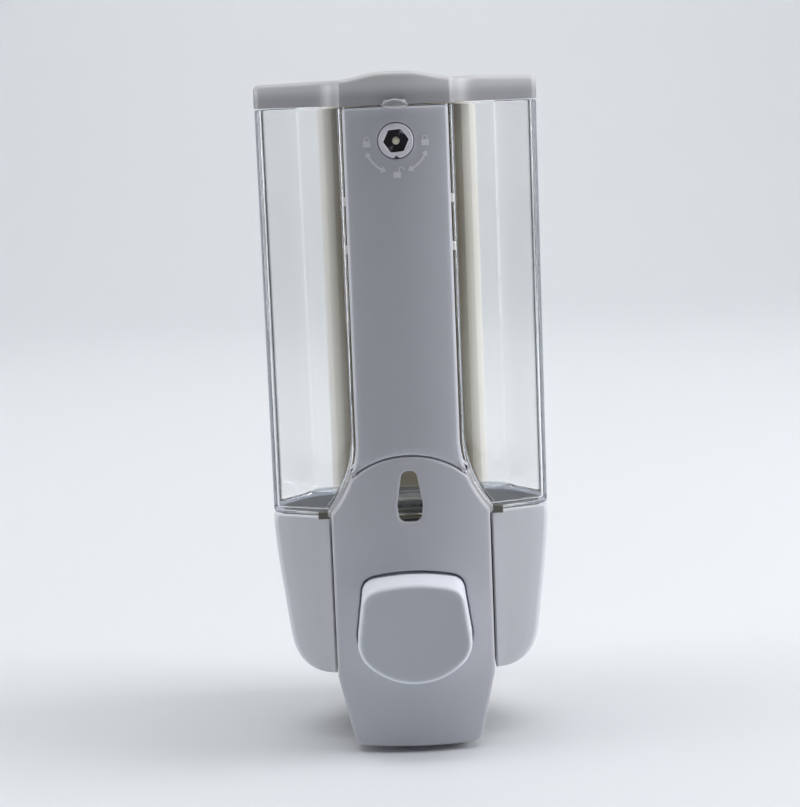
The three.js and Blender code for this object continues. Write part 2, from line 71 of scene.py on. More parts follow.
TANK_LOW, TANK_HIGH = box_mm("tank")
LID_LOW, LID_HIGH = box_mm("lid")
COLUMN_LOW, COLUMN_HIGH = box_mm("front_column")
PANEL_LOW, PANEL_HIGH = box_mm("front_panel")
BUTTON_LOW, BUTTON_HIGH = box_mm("push_button")
LOCK_LOW, LOCK_HIGH = box_mm("lock_cylinder")
PIN_LOW, PIN_HIGH = box_mm("lock_pin")
NUT_LOW, NUT_HIGH = box_mm("outlet_nut")
PIVOT_LOW, PIVOT_HIGH = box_mm("hinge_pin")

HALF_WIDTH = TANK_HIGH[0]
Z_RIM = TANK_HIGH[2]
Z_FLOOR = box_mm("back_frame")[0][2]  # what the dispenser stands on
Y_BACK = TANK_HIGH[1]
Y_BULGE = TANK_LOW[1]
Y_WING = -67.0  # front of the tank's wings beside the column
Y_CORNER = -57.0  # and at their outer corners
Y_SIDE = -43.0  # where the sides start to narrow towards the wall
X_WING = 22.0  # where the wings start to sweep back
BACK_TAPER = 11.5  # how much narrower each side is at the back
Y_FRONT = COLUMN_LOW[1]
Z_DECK = -33.6  # underside of the tank
COLUMN_EDGE = 16.0  # half width of the column above its flare
PANEL_EDGE = PANEL_HIGH[0]
BULGE_MARGIN = 1.5  # how far the tank's bulge stands out beside the column
FLARE_TOP = -7.5  # height where the column starts to widen
FLARE_RADIUS = 34.9
SHOULDER = -30.5  # height of the panel's shoulders, where the flare ends
SEAM_TOP = -12.1  # crown of the arched seam between column and panel
SEAM_RADIUS = 26.2
SEAM_GAP = 0.1  # half the gap along the seam
Z_FOOT = PANEL_LOW[2]
Z_CASING_FOOT = -84.5
WALL = 2.0  # thickness of the grey mouldings
TANK_WALL = 1.6
LOCK_Z = (LOCK_LOW[2] + LOCK_HIGH[2]) / 2
PORT_Y = (NUT_LOW[1] + NUT_HIGH[1]) / 2
HINGE_Y = (PIVOT_LOW[1] + PIVOT_HIGH[1]) / 2
HINGE_Z = (PIVOT_LOW[2] + PIVOT_HIGH[2]) / 2
CLIP_ROWS = (51.2, 65.9)  # heights of the column's clips
FRAME_SCREWS = [(-13.4, -48), (13.4, -48), (-13.4, -76), (13.4, -76)]  # (x, z)
PANEL_SCREWS = [(-12, -91), (12, -91)]
NECK_OUTER = 9.0
NECK_BORE = 6.5
FLAT_STEP = 3.0  # size of the triangles on flat faces
CREASE = 32  # degrees; flatter edges are shaded smooth
CAD_CREASE = 35


# ---------- outlines ----------
def arc(cx, cy, radius, start, end, count):
    """Points on an arc, angles in degrees."""
    angles = np.radians(np.linspace(start, end, count))
    return [(cx + radius * math.cos(a), cy + radius * math.sin(a)) for a in angles]


def line(p, q, step):
    """Points from p towards q, without q."""
    count = max(1, round(math.dist(p, q) / step))
    return [(p[0] + (q[0] - p[0]) * i / count, p[1] + (q[1] - p[1]) * i / count) for i in range(count)]


def filleted(corners, step, fine=6, pieces=0):
    """A closed outline through corners (u, v, radius) with true fillets, as points about a step apart.

    `pieces` cuts every straight into that many parts instead, so that lofted rings match.
    """
    parts = []
    for i, (u, v, radius) in enumerate(corners):
        corner = Vector((u, v))
        back = (Vector(corners[i - 1][:2]) - corner).normalized()
        ahead = (Vector(corners[(i + 1) % len(corners)][:2]) - corner).normalized()
        if radius <= 0:
            parts.append([(u, v)])
            continue
        half = back.angle(ahead) / 2
        reach = radius / math.tan(half)
        middle = corner + (back + ahead).normalized() * (radius / math.sin(half))
        first = corner + back * reach - middle
        last = corner + ahead * reach - middle
        turn = first.angle_signed(last)
        bend = []
        for k in range(fine + 1):
            a = -turn * k / fine
            c, s = math.cos(a), math.sin(a)
            bend.append((middle.x + first.x * c - first.y * s, middle.y + first.x * s + first.y * c))
        parts.append(bend)
    loop = []
    for i, part in enumerate(parts):
        ahead = parts[(i + 1) % len(parts)][0]
        loop += part[:-1]
        loop += line(part[-1], ahead, max(math.dist(part[-1], ahead) / pieces, 1e-6) if pieces else step)
    return loop


def open_path(corners, step, fine=6):
    """The same along an open run of corners; the two ends have no radius."""
    loop = filleted(corners, step, fine)
    return loop[: loop.index(tuple(corners[-1][:2])) + 1]


def mirrored(right):
    """An anticlockwise outline from its right half, which runs bottom to top."""
    return right + [(-c[0], *c[1:]) for c in reversed(right) if abs(c[0]) > 1e-9]


def circle(cx, cy, radius, count=48):
    return arc(cx, cy, radius, 0, 360 * (count - 1) / count, count)


def inset(loop, distance):
    """An anticlockwise loop moved in by a distance, corners mitred."""
    if distance == 0:
        return list(loop)
    p = np.array(loop)
    edge = np.roll(p, -1, axis=0) - p
    edge /= np.linalg.norm(edge, axis=1)[:, None]
    normal = np.stack([-edge[:, 1], edge[:, 0]], axis=1)
    before = np.roll(normal, 1, axis=0)
    middle = normal + before
    middle /= np.linalg.norm(middle, axis=1)[:, None]
    reach = distance / np.maximum((middle * normal).sum(axis=1), 0.4)
    return [tuple(q) for q in p + middle * reach[:, None]]


def inside(points, loop):
    """Which points lie inside a closed loop."""
    p = np.asarray(points, dtype=float)
    a = np.array(loop)
    b = np.roll(a, -1, axis=0)
    found = np.zeros(len(p), dtype=bool)
    for (ax, ay), (bx, by) in zip(a, b):
        if ay == by:
            continue
        crosses = (ay > p[:, 1]) != (by > p[:, 1])
        found ^= crosses & (p[:, 0] < (bx - ax) * (p[:, 1] - ay) / (by - ay) + ax)
    return found


def fill(loop, holes, step):
    """Triangles (as 2D point triples) over the inside of a loop, leaving out the holes."""
    low, high = np.min(loop, axis=0), np.max(loop, axis=0)
    us = np.arange(low[0] + step / 2, high[0], step)
    vs = np.arange(low[1] + step / 2, high[1], step * 0.87)
    grid = np.array([(u + (row % 2) * step / 2, v) for row, v in enumerate(vs) for u in us]).reshape(-1, 2)
    keep = inside(grid, inset(loop, step * 0.45))
    for hole in holes:
        keep &= ~inside(grid, inset(hole, -step * 0.45))
    points, edges = [], []
    for ring in [loop, *holes]:
        start = len(points)
        points += ring
        edges += [(start + i, start + (i + 1) % len(ring)) for i in range(len(ring))]
    points += [tuple(q) for q in grid[keep]]
    verts, _, faces, *_ = delaunay_2d_cdt([Vector(q) for q in points], edges, [], 0, 1e-7)
    verts = [(v.x, v.y) for v in verts]
    middles = [np.mean([verts[i] for i in face], axis=0) for face in faces]
    good = inside(middles, loop)
    for hole in holes:
        good &= ~inside(middles, hole)
    return [[verts[i] for i in face] for face, ok in zip(faces, good) if ok]


def rectangle(low, high, radius, step=2.0, fine=6):
    """A filleted rectangle between two opposite corners."""
    (left, bottom), (right, top) = low, high
    corners = [(left, bottom), (right, bottom), (right, top), (left, top)]
    return filleted([(*corner, radius) for corner in corners], step, fine)


def quarter(count):
    """Angles over a quarter turn, in count steps."""
    return [math.pi / 2 * k / count for k in range(count + 1)]


def bezier(p, q, r, count):
    """Points on a quadratic curve from p to r, drawn towards q."""
    ts = np.linspace(0, 1, count)
    return [tuple((1 - t) ** 2 * a + 2 * t * (1 - t) * b + t * t * c for a, b, c in zip(p, q, r)) for t in ts]


# ---------- meshes ----------
def front(u, v, w):
    """Outline in (x, z), height along y."""
    return (u, w, v)


def above(u, v, w):
    """Outline in (x, y), height along z."""
    return (u, v, w)


def beside(u, v, w):
    """Outline in (y, z), height along x."""
    return (w, u, v)


class Build:
    """Collects faces in millimetres and makes one smooth-shaded object of them."""

    def __init__(self):
        self.mesh = bmesh.new()

    def face(self, points):
        corners = [self.mesh.verts.new(Vector(p) * MM) for p in points]
        self.mesh.faces.new(corners)

    def skin(self, rings):
        """Quads between closed rings of equal length, in order."""
        made = [[self.mesh.verts.new(Vector(p) * MM) for p in ring] for ring in rings]
        count = len(rings[0])
        for low, high in zip(made, made[1:]):
            for i in range(count):
                j = (i + 1) % count
                self.mesh.faces.new((low[i], low[j], high[j], high[i]))

    def object(self, name):
        bmesh.ops.remove_doubles(self.mesh, verts=self.mesh.verts, dist=1e-7)
        bmesh.ops.dissolve_degenerate(self.mesh, edges=self.mesh.edges, dist=1e-8)
        bmesh.ops.recalc_face_normals(self.mesh, faces=self.mesh.faces)
        data = bpy.data.meshes.new(name)
        self.mesh.to_mesh(data)
        self.mesh.free()
        data.polygons.foreach_set("use_smooth", [True] * len(data.polygons))
        data.set_sharp_from_angle(angle=math.radians(CREASE))
        made = bpy.data.objects.new(name, data)
        bpy.context.collection.objects.link(made)
        return made


def as_drawn(u, v):
    """No lean."""
    return u, v


def cover(
    build, place, outline, surface, back, radius,
    holes=(), hole_radius=0.35, draft=0.0, step=1.3, rounds=5, lean=as_drawn,
):
    """A moulded shell: a rounded front at w = surface(u, v), sides running to w = back, and an open back.

    `holes` are loops cut straight through the front, each with a rounded rim. `back` may lie on either side
    of the surface. `lean` moves the points of the front.
    """
    sense = 1 if back > surface(*outline[0]) else -1

    def ring(loop, height):
        return [place(u, v, height(u, v)) for u, v in loop]

    angles = quarter(rounds)
    rings = [ring(outline, lambda u, v: back)]
    for a in angles:
        loop = [lean(u, v) for u, v in inset(outline, draft + radius * (1 - math.cos(a)))]
        drop = sense * radius * (1 - math.sin(a))
        rings.append(ring(loop, lambda u, v, drop=drop: surface(u, v) + drop))
    build.skin(rings)
    face_loop = [lean(u, v) for u, v in inset(outline, draft + radius)]
    mouths = [inset(hole, -hole_radius) for hole in holes]
    for triangle in fill(face_loop, mouths, step):
        build.face([place(u, v, surface(u, v)) for u, v in triangle])
    for hole in holes:
        rings = []
        for a in reversed(angles):
            loop = inset(hole, -hole_radius * (1 - math.cos(a)))
            drop = sense * hole_radius * (1 - math.sin(a))
            rings.append(ring(loop, lambda u, v, drop=drop: surface(u, v) + drop))
        rings.append(ring(hole, lambda u, v: surface(u, v) + sense * WALL))
        build.skin(rings)
    inner = inset(outline, WALL + draft)
    build.skin(
        [
            ring(outline, lambda u, v: back),
            ring(inset(outline, WALL), lambda u, v: back),
            ring(inner, lambda u, v: surface(u, v) + sense * WALL),
        ]
    )
    for triangle in fill(inner, list(holes), step * 1.5):
        build.face([place(u, v, surface(u, v) + sense * WALL) for u, v in triangle])


def block(build, place, outline, low, high, radius, rounds=3, holes=()):
    """A solid prism from w = low to w = high with both rims rounded."""
    angles = quarter(rounds)
    levels = [(radius * (1 - math.sin(a)), radius * (1 - math.cos(a))) for a in angles]
    profile = [(low + rise, reach) for rise, reach in reversed(levels)]
    profile += [(high - rise, reach) for rise, reach in levels]
    for loop, side in [(outline, 1), *[(hole, -1) for hole in holes]]:
        build.skin([[place(u, v, w) for u, v in inset(loop, side * reach)] for w, reach in profile])
    for w in (low, high):
        for triangle in fill(inset(outline, radius), [inset(hole, -radius) for hole in holes], FLAT_STEP):
            build.face([place(u, v, w) for u, v in triangle])


def turned(build, place, cx, cy, profile, count=48):
    """A piece turned about (cx, cy); the profile is (radius, w) and closed."""
    rings = []
    least = 1e-4  # instead of a radius of 0, whose ring would have no size
    for radius, w in [*profile, profile[0]]:
        rings.append([place(u, v, w) for u, v in circle(cx, cy, max(radius, least), count)])
    build.skin(rings)


def notched(piece, low, high):
    """The piece with the box between two opposite corners cut out of it."""
    mesh = bmesh.new()
    size = [b - a for a, b in zip(low, high)]
    middle = [(a + b) / 2 * MM for a, b in zip(low, high)]
    where = Matrix.Translation(middle) @ Matrix.Diagonal((*[s * MM for s in size], 1))
    bmesh.ops.create_cube(mesh, size=1.0, matrix=where)
    data = bpy.data.meshes.new("cutter")
    mesh.to_mesh(data)
    mesh.free()
    tool = bpy.data.objects.new("cutter", data)
    bpy.context.collection.objects.link(tool)
    cut = piece.modifiers.new("notch", "BOOLEAN")
    cut.operation = "DIFFERENCE"
    cut.solver = "EXACT"
    cut.object = tool
    graph = bpy.context.evaluated_depsgraph_get()
    piece.data = bpy.data.meshes.new_from_object(piece.evaluated_get(graph))
    piece.modifiers.clear()
    bpy.data.objects.remove(tool)
    return piece


def coil(node, turns, wire, axis, anchor):
    """A spring in the place of the CAD one.

    `axis` is 1 for y or 2 for z. `anchor`, 1 or -1 for the high or the low end, gives a held point that is
    not used.
    """
    turn_steps, wire_sides = 24, 8
    low, high = box_mm(node)
    middle = [(a + b) / 2 for a, b in zip(low, high)]
    radius = (high[0] - low[0]) / 2 - wire
    length = high[axis] - low[axis]
    across = 3 - axis
    steps = turns * turn_steps
    rings = []
    for k in range(steps + 1):
        a = 2 * math.pi * k / turn_steps
        rise = low[axis] + wire + (length - 2 * wire) * k / steps
        ring = []
        for b in np.linspace(0, 2 * math.pi, wire_sides, endpoint=False):
            reach = radius + wire * math.cos(b)
            point = [middle[0] + reach * math.cos(a), 0, 0]
            point[across] = middle[across] + reach * math.sin(a)
            point[axis] = rise + wire * math.sin(b)
            ring.append(point)
        rings.append(ring)
    build = Build()
    build.skin(rings)
    for ring in (rings[0], rings[-1]):
        for k in range(1, wire_sides - 1):
            build.face([ring[0], ring[k], ring[k + 1]])
    piece = build.object(node + "_coil")
    finish(piece, STEEL, "dispenser", "steel", node)
    held = [m * MM for m in middle]
    held[axis] = (high if anchor > 0 else low)[axis] * MM
    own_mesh(piece)


# ---------- shared curves of the front ----------
def flare(z):
    """Half width of the column and the panel's upper part."""
    drop = min(max(FLARE_TOP - z, 0), FLARE_TOP - SHOULDER)
    return COLUMN_EDGE + FLARE_RADIUS - math.sqrt(FLARE_RADIUS**2 - drop**2)


def seam(x, shift):
    """Height of the seam between column and panel, moved outwards by shift."""
    radius = SEAM_RADIUS + shift
    return SEAM_TOP - SEAM_RADIUS + math.sqrt(radius**2 - x**2)


def seam_end(shift):
    """Half width at which the seam meets the column's side, found by halving."""
    low, high = 10.0, 24.0
    halvings = 40
    for _ in range(halvings):
        x = (low + high) / 2
        if x < flare(seam(x, shift)):
            low = x
        else:
            high = x
    return low


def wing_y(x):
    """Front of the swept-back wings and casings."""
    return Y_WING + max(0.0, abs(x) - X_WING) * (Y_CORNER - Y_WING) / (HALF_WIDTH - X_WING)


def plan(half, bulge, inward=0.0):
    """The tank from above at one height, with the wings' half width and the bulge's."""
    right = [
        (bulge, Y_BULGE, 2.2),
        (bulge, wing_y(bulge), 1.2),
        (half, Y_CORNER, 3.2),
        (half, Y_SIDE, 9.0),
        (half - BACK_TAPER, Y_BACK, 4.0),
    ]
    return inset(filleted(mirrored(right), 0, 7, pieces=8), inward)


# ---------- materials ----------
HIGHLIGHT_POINTINESS = (0.503, 0.525)  # from flat to an edge that gets the full painted highlight
EDGE_TINT = (0.62, 0.64, 0.68)  # of the clear plastic, seen edge on
SHADOW_TINT = (0.93, 0.93, 0.93)  # of the light it lets through


def material(name):
    made = bpy.data.materials.new(name)
    made.use_nodes = True
    nodes, links = made.node_tree.nodes, made.node_tree.links
    return made, nodes, links, nodes["Principled BSDF"]


def remap(nodes, start=0.0, end=1.0, low=0.0, high=1.0):
    """A Map Range node that takes start..end to low..high."""
    made = nodes.new("ShaderNodeMapRange")
    for name, value in (("From Min", start), ("From Max", end), ("To Min", low), ("To Max", high)):
        made.inputs[name].default_value = value
    return made


def blended(nodes, links, factor, colour, other):
    """The socket of a colour that turns into another by a factor."""
    mix = nodes.new("ShaderNodeMix")
    mix.data_type = "RGBA"
    mix.inputs["B"].default_value = (*other, 1)
    links.new(factor, mix.inputs["Factor"])
    links.new(colour, mix.inputs["A"])
    return mix.outputs["Result"]


def shaded(nodes, links, coords, colour, shade):
    """The socket of a colour darkened by place into a painted shade, as moulded() describes."""
    axis, start, end, dark, low, high = shade

    def product(a, b):
        node = nodes.new("ShaderNodeMath")
        node.operation = "MULTIPLY"
        links.new(a, node.inputs[0])
        links.new(b, node.inputs[1])
        return node.outputs["Value"]

    place = nodes.new("ShaderNodeSeparateXYZ")
    links.new(coords.outputs["Object"], place.inputs["Vector"])
    distance = nodes.new("ShaderNodeMath")
    distance.operation = "ABSOLUTE"
    links.new(place.outputs[axis], distance.inputs[0])
    depth = remap(nodes, start * MM, end * MM)
    depth.interpolation_type = "SMOOTHSTEP"
    links.new(distance.outputs["Value"], depth.inputs["Value"])

    facing = nodes.new("ShaderNodeSeparateXYZ")
    links.new(coords.outputs["Normal"], facing.inputs["Vector"])
    forward = remap(nodes, 0.3, 0.05)  # from faces that look back to those that look aside or forward
    links.new(facing.outputs["Y"], forward.inputs["Value"])

    level = nodes.new("ShaderNodeMath")
    level.operation = "COMPARE"
    level.inputs[1].default_value = (low + high) / 2 * MM
    level.inputs[2].default_value = (high - low) / 2 * MM
    links.new(place.outputs["Z"], level.inputs[0])

    amount = product(product(depth.outputs["Result"], forward.outputs["Result"]), level.outputs["Value"])
    return blended(nodes, links, amount, colour, dark)


def moulded(name, color, rough=0.38, vary=0.03, grain=0.06, edge_highlight=1.0, shade=None):
    """Injection-moulded plastic: slight tone and gloss variation, a fine grain, and edges painted lighter as
    a highlight.

    `shade` is (axis, from, to, colour, low, high): a painted shade, in which the plastic darkens to that
    colour between two distances along the axis, in millimetres, on the faces that don't look back, between
    two heights.
    """
    made, nodes, links, shader = material(name)
    coords = nodes.new("ShaderNodeTexCoord")
    cloud = nodes.new("ShaderNodeTexNoise")
    cloud.inputs["Scale"].default_value = 28.0
    cloud.inputs["Detail"].default_value = 5.0
    tone = nodes.new("ShaderNodeValToRGB")
    for element, position, change in zip(tone.color_ramp.elements, (0.3, 0.7), (-vary, vary)):
        element.position = position
        element.color = (*[min(1, c * (1 + change)) for c in color], 1)
    gloss = remap(nodes, low=rough - 0.04, high=rough + 0.04)
    fine = nodes.new("ShaderNodeTexNoise")
    fine.inputs["Scale"].default_value = 2600.0
    fine.inputs["Detail"].default_value = 2.0
    bump = nodes.new("ShaderNodeBump")
    bump.inputs["Strength"].default_value = grain
    bump.inputs["Distance"].default_value = 0.0002
    links.new(coords.outputs["Object"], cloud.inputs["Vector"])
    links.new(coords.outputs["Object"], fine.inputs["Vector"])
    links.new(cloud.outputs["Fac"], tone.inputs["Fac"])
    links.new(cloud.outputs["Fac"], gloss.inputs["Value"])
    links.new(fine.outputs["Fac"], bump.inputs["Height"])
    links.new(gloss.outputs["Result"], shader.inputs["Roughness"])
    links.new(bump.outputs["Normal"], shader.inputs["Normal"])
    colour = tone.outputs["Color"]
    if shade:
        colour = shaded(nodes, links, coords, colour, shade)
    # Painted highlight: where pointiness marks an edge, the colour turns towards a paler copy of itself.
    if edge_highlight != 1.0:
        shape = nodes.new("ShaderNodeNewGeometry")
        edges = remap(nodes, *HIGHLIGHT_POINTINESS)
        links.new(shape.outputs["Pointiness"], edges.inputs["Value"])
        light = [min(0.95, c * edge_highlight) for c in color]
        colour = blended(nodes, links, edges.outputs["Result"], colour, light)
    links.new(colour, shader.inputs["Base Color"])
    return made


def clear(name, tint, rough=0.02):
    """Clear moulded plastic with faint flow ripples, blue-grey where it is seen edge on."""
    made, nodes, links, shader = material(name)
    coords = nodes.new("ShaderNodeTexCoord")
    stretch = nodes.new("ShaderNodeMapping")
    stretch.inputs["Scale"].default_value = (1.0, 1.0, 0.04)
    ripple = nodes.new("ShaderNodeTexNoise")
    ripple.inputs["Scale"].default_value = 110.0
    ripple.inputs["Detail"].default_value = 1.0
    bump = nodes.new("ShaderNodeBump")
    bump.inputs["Strength"].default_value = 0.05
    bump.inputs["Distance"].default_value = 0.0005
    haze = remap(nodes, low=rough * 0.5, high=rough * 1.5)
    links.new(coords.outputs["Object"], stretch.inputs["Vector"])
    links.new(stretch.outputs["Vector"], ripple.inputs["Vector"])
    links.new(ripple.outputs["Fac"], bump.inputs["Height"])
    links.new(ripple.outputs["Fac"], haze.inputs["Value"])
    links.new(bump.outputs["Normal"], shader.inputs["Normal"])
    links.new(haze.outputs["Result"], shader.inputs["Roughness"])
    shader.inputs["Base Color"].default_value = (*tint, 1)
    shader.inputs["Transmission Weight"].default_value = 1.0
    shader.inputs["IOR"].default_value = 1.49

    def swapped(factor, shown, color):
        """The shader socket `shown`, giving way to a plain see-through colour by a factor."""
        body = nodes.new("ShaderNodeBsdfTransparent")
        body.inputs["Color"].default_value = (*color, 1)
        mix = nodes.new("ShaderNodeMixShader")
        links.new(factor, mix.inputs["Fac"])
        links.new(shown, mix.inputs[1])
        links.new(body.outputs["BSDF"], mix.inputs[2])
        return mix.outputs["Shader"]

    edge_on = nodes.new("ShaderNodeLayerWeight")
    edge_on.inputs["Blend"].default_value = 0.5
    thick = remap(nodes, 0.5, 0.75)
    links.new(edge_on.outputs["Facing"], thick.inputs["Value"])
    skin = swapped(thick.outputs["Result"], shader.outputs["BSDF"], EDGE_TINT)
    # Lamps shine through it, instead of casting a solid shadow.
    path = nodes.new("ShaderNodeLightPath")
    surface = swapped(path.outputs["Is Shadow Ray"], skin, SHADOW_TINT)
    links.new(surface, nodes["Material Output"].inputs["Surface"])
    return made


def metal(name, color, rough):
    """Finely brushed metal."""
    made, nodes, links, shader = material(name)
    coords = nodes.new("ShaderNodeTexCoord")
    brushed = nodes.new("ShaderNodeTexNoise")
    brushed.inputs["Scale"].default_value = 900.0
    wear = remap(nodes, low=rough - 0.07, high=rough + 0.1)
    links.new(coords.outputs["Object"], brushed.inputs["Vector"])
    links.new(brushed.outputs["Fac"], wear.inputs["Value"])
    links.new(wear.outputs["Result"], shader.inputs["Roughness"])
    shader.inputs["Base Color"].default_value = (*color, 1)
    shader.inputs["Metallic"].default_value = 1.0
    return made


# Materials below whose edges turn paler by pointiness carry a painted highlight there.
GREY = moulded("grey_abs", (0.465, 0.475, 0.52), rough=0.32, edge_highlight=1.25)
# Painted shade: the panel's sides darken from 6 to 8.5 mm behind its front.
PANEL_PAINTED_SHADE = ("Y", -PANEL_LOW[1] - 6.0, -PANEL_LOW[1] - 8.5, (0.24, 0.24, 0.25), Z_FOOT, Z_RIM)
PANEL_GREY = moulded("panel_abs", (0.485, 0.495, 0.54), rough=0.33, shade=PANEL_PAINTED_SHADE)
# Painted shade: the deck is much darker than the other grey mouldings, for the shade under the tank.
DECK_SHADED_GREY = moulded("deck_abs", (0.20, 0.20, 0.18), rough=0.4)
# Painted light and shade: the lid is pale along its top and darkens down its front and sides towards the rim.
LID_PAINTED_SHADE = ("Z", 101.2, 96.8, (0.35, 0.35, 0.37), Z_RIM, LID_HIGH[2])
LID_GREY = moulded("lid_abs", (0.58, 0.58, 0.60), rough=0.34, shade=LID_PAINTED_SHADE)
CASING_GREY = moulded("casing_abs", (0.59, 0.60, 0.645), rough=0.36, edge_highlight=1.3)
BUTTON_GREY = moulded("button_abs", (0.51, 0.53, 0.58), rough=0.36, edge_highlight=1.65)
# Painted shade: the lock darkens to near black from 0.6 to 3.5 mm behind its face, inside the key socket.
LOCK_SOCKET_SHADE = ("Y", -LOCK_LOW[1] - 0.6, -LOCK_LOW[1] - 3.5, (0.045, 0.04, 0.06), Z_DECK, Z_RIM)
LOCK_GREY = moulded("lock_abs", (0.56, 0.55, 0.60), rough=0.3, edge_highlight=1.3, shade=LOCK_SOCKET_SHADE)
PIN_WHITE = moulded("pin_white", (0.80, 0.76, 0.58), rough=0.4)
# Painted shade: a dark olive for the tabs under the tank.
TAB_SHADE = moulded("shaded_abs", (0.15, 0.145, 0.125), rough=0.45)
INK = moulded("symbol_white", (0.66, 0.67, 0.70), rough=0.5)
CREAM = moulded("cream_abs", (0.84, 0.80, 0.72), rough=0.45)
FRAME_SHADE = ("X", 26.0, 17.5, (0.19, 0.15, 0.075), Z_DECK, Z_RIM - 2.0)
FRAME_CREAM = moulded("frame_abs", (0.82, 0.80, 0.75), rough=0.45, shade=FRAME_SHADE)
# Painted shade: the outlet nut is near black, for the shade inside the housing seen through the level window.
NUT_SHADE = moulded("nut_painted_shade", (0.05, 0.05, 0.052), rough=0.22)
# Natural plastic, and on the column's clips a painted glint.
NATURAL_AND_CLIP_GLINT = moulded("natural_acetal_and_clip_glint", (0.78, 0.77, 0.73), rough=0.45, vary=0.02)
RUBBER = moulded("black_rubber", (0.012, 0.012, 0.014), rough=0.6, vary=0.2)
CLEAR = clear("clear_styrene", (0.985, 0.99, 0.99), rough=0.05)
STEEL = metal("stainless", (0.62, 0.63, 0.65), 0.28)


def finish(piece, look, body, slot, *nodes):
    """Gives a piece its look and body, and hides the CAD nodes it takes the place of. `slot` is not used."""
    piece.data.materials.append(look)
    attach(piece, body)
    if nodes:
        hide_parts(*nodes)


# ---------- tank ----------
def tank():
    build = Build()
    foot_radius, rim_radius, inner_radius = 1.6, 0.5, 1.2
    chamfer = 0.3  # along the rim's inner edge
    draft = 0.25  # how much each side narrows from the rim to the deck
    floor = Z_DECK + TANK_WALL

    def ring(z, inward):
        half = HALF_WIDTH - draft * (Z_RIM - z) / (Z_RIM - Z_DECK)
        return [above(u, v, z) for u, v in plan(half, flare(z) + BULGE_MARGIN, inward)]

    # (height, distance inwards), up the outside and down the inside.
    levels = []
    for a in quarter(5):
        levels.append((Z_DECK + foot_radius * (1 - math.cos(a)), foot_radius * (1 - math.sin(a))))
    flare_rows = np.linspace(Z_DECK + foot_radius + 0.6, FLARE_TOP, 24)
    upper_rows = np.linspace(FLARE_TOP + 4, Z_RIM - rim_radius - 2, 12)
    levels += [(z, 0.0) for z in [*flare_rows, *upper_rows]]
    for a in quarter(5):
        levels.append((Z_RIM - rim_radius * (1 - math.sin(a)), rim_radius * (1 - math.cos(a))))
    levels.append((Z_RIM, TANK_WALL - chamfer))
    levels.append((Z_RIM - chamfer, TANK_WALL))
    levels += [(z, TANK_WALL) for z in [*reversed(upper_rows), *reversed(flare_rows[4:])]]
    for a in quarter(5):
        rise, inward = inner_radius * (1 - math.sin(a)), inner_radius * (1 - math.cos(a))
        levels.append((floor + rise, TANK_WALL + inward))
    build.skin([ring(z, inward) for z, inward in levels])
    for level, z, opening in ((levels[0], Z_DECK, NECK_OUTER), (levels[-1], floor, NECK_BORE)):
        loop = [(p[0], p[1]) for p in ring(*level)]
        for triangle in fill(loop, [circle(0, PORT_Y, opening)], 4.0):
            build.face([above(u, v, z) for u, v in triangle])
    neck = [(NECK_OUTER, Z_DECK), (NECK_OUTER, TANK_LOW[2]), (NECK_BORE, TANK_LOW[2]), (NECK_BORE, floor)]
    build.skin([[above(u, v, z) for u, v in circle(0, PORT_Y, radius)] for radius, z in neck])
    finish(build.object("tank_clear"), CLEAR, "dispenser", "clear_plastic", "tank")


# ---------- base ----------
def base():
    top = Z_DECK - 0.4
    inner = PANEL_EDGE + 0.75  # the casings' inner sides, a gap from the panel
    casings(top, inner)
    deck(top, inner)
    tabs(top)


def casings(top, inner):
    build = Build()
    # One casing's front outline, from the deck down to the foot.
    waist, ankle = (42.3, -54.0), (39.9, -72.5)
    sweep = [(HALF_WIDTH - 0.6, top), (HALF_WIDTH - 0.15, top - 0.2), (HALF_WIDTH, top - 0.7)]
    sweep += bezier((HALF_WIDTH, top - 0.8), (43.6, -44.0), waist, 12)[1:]
    sweep += line(waist, ankle, 4.0)[1:]
    sweep += bezier(ankle, (38.3, Z_CASING_FOOT + 0.1), (28.5, Z_CASING_FOOT), 16)
    thinnest = inner + 1.4
    for side in (1, -1):
        rings = [casing_ring(side, half, z, inner, 0.0) for half, z in sweep]
        for half, z in reversed(sweep):
            narrow = max(half - WALL, thinnest)
            rings.append(casing_ring(side, narrow, max(z, Z_CASING_FOOT + WALL), inner, WALL))
        build.skin([*rings, rings[0]])
    finish(build.object("base_casings"), CASING_GREY, "dispenser", "grey_plastic", "base_housing")


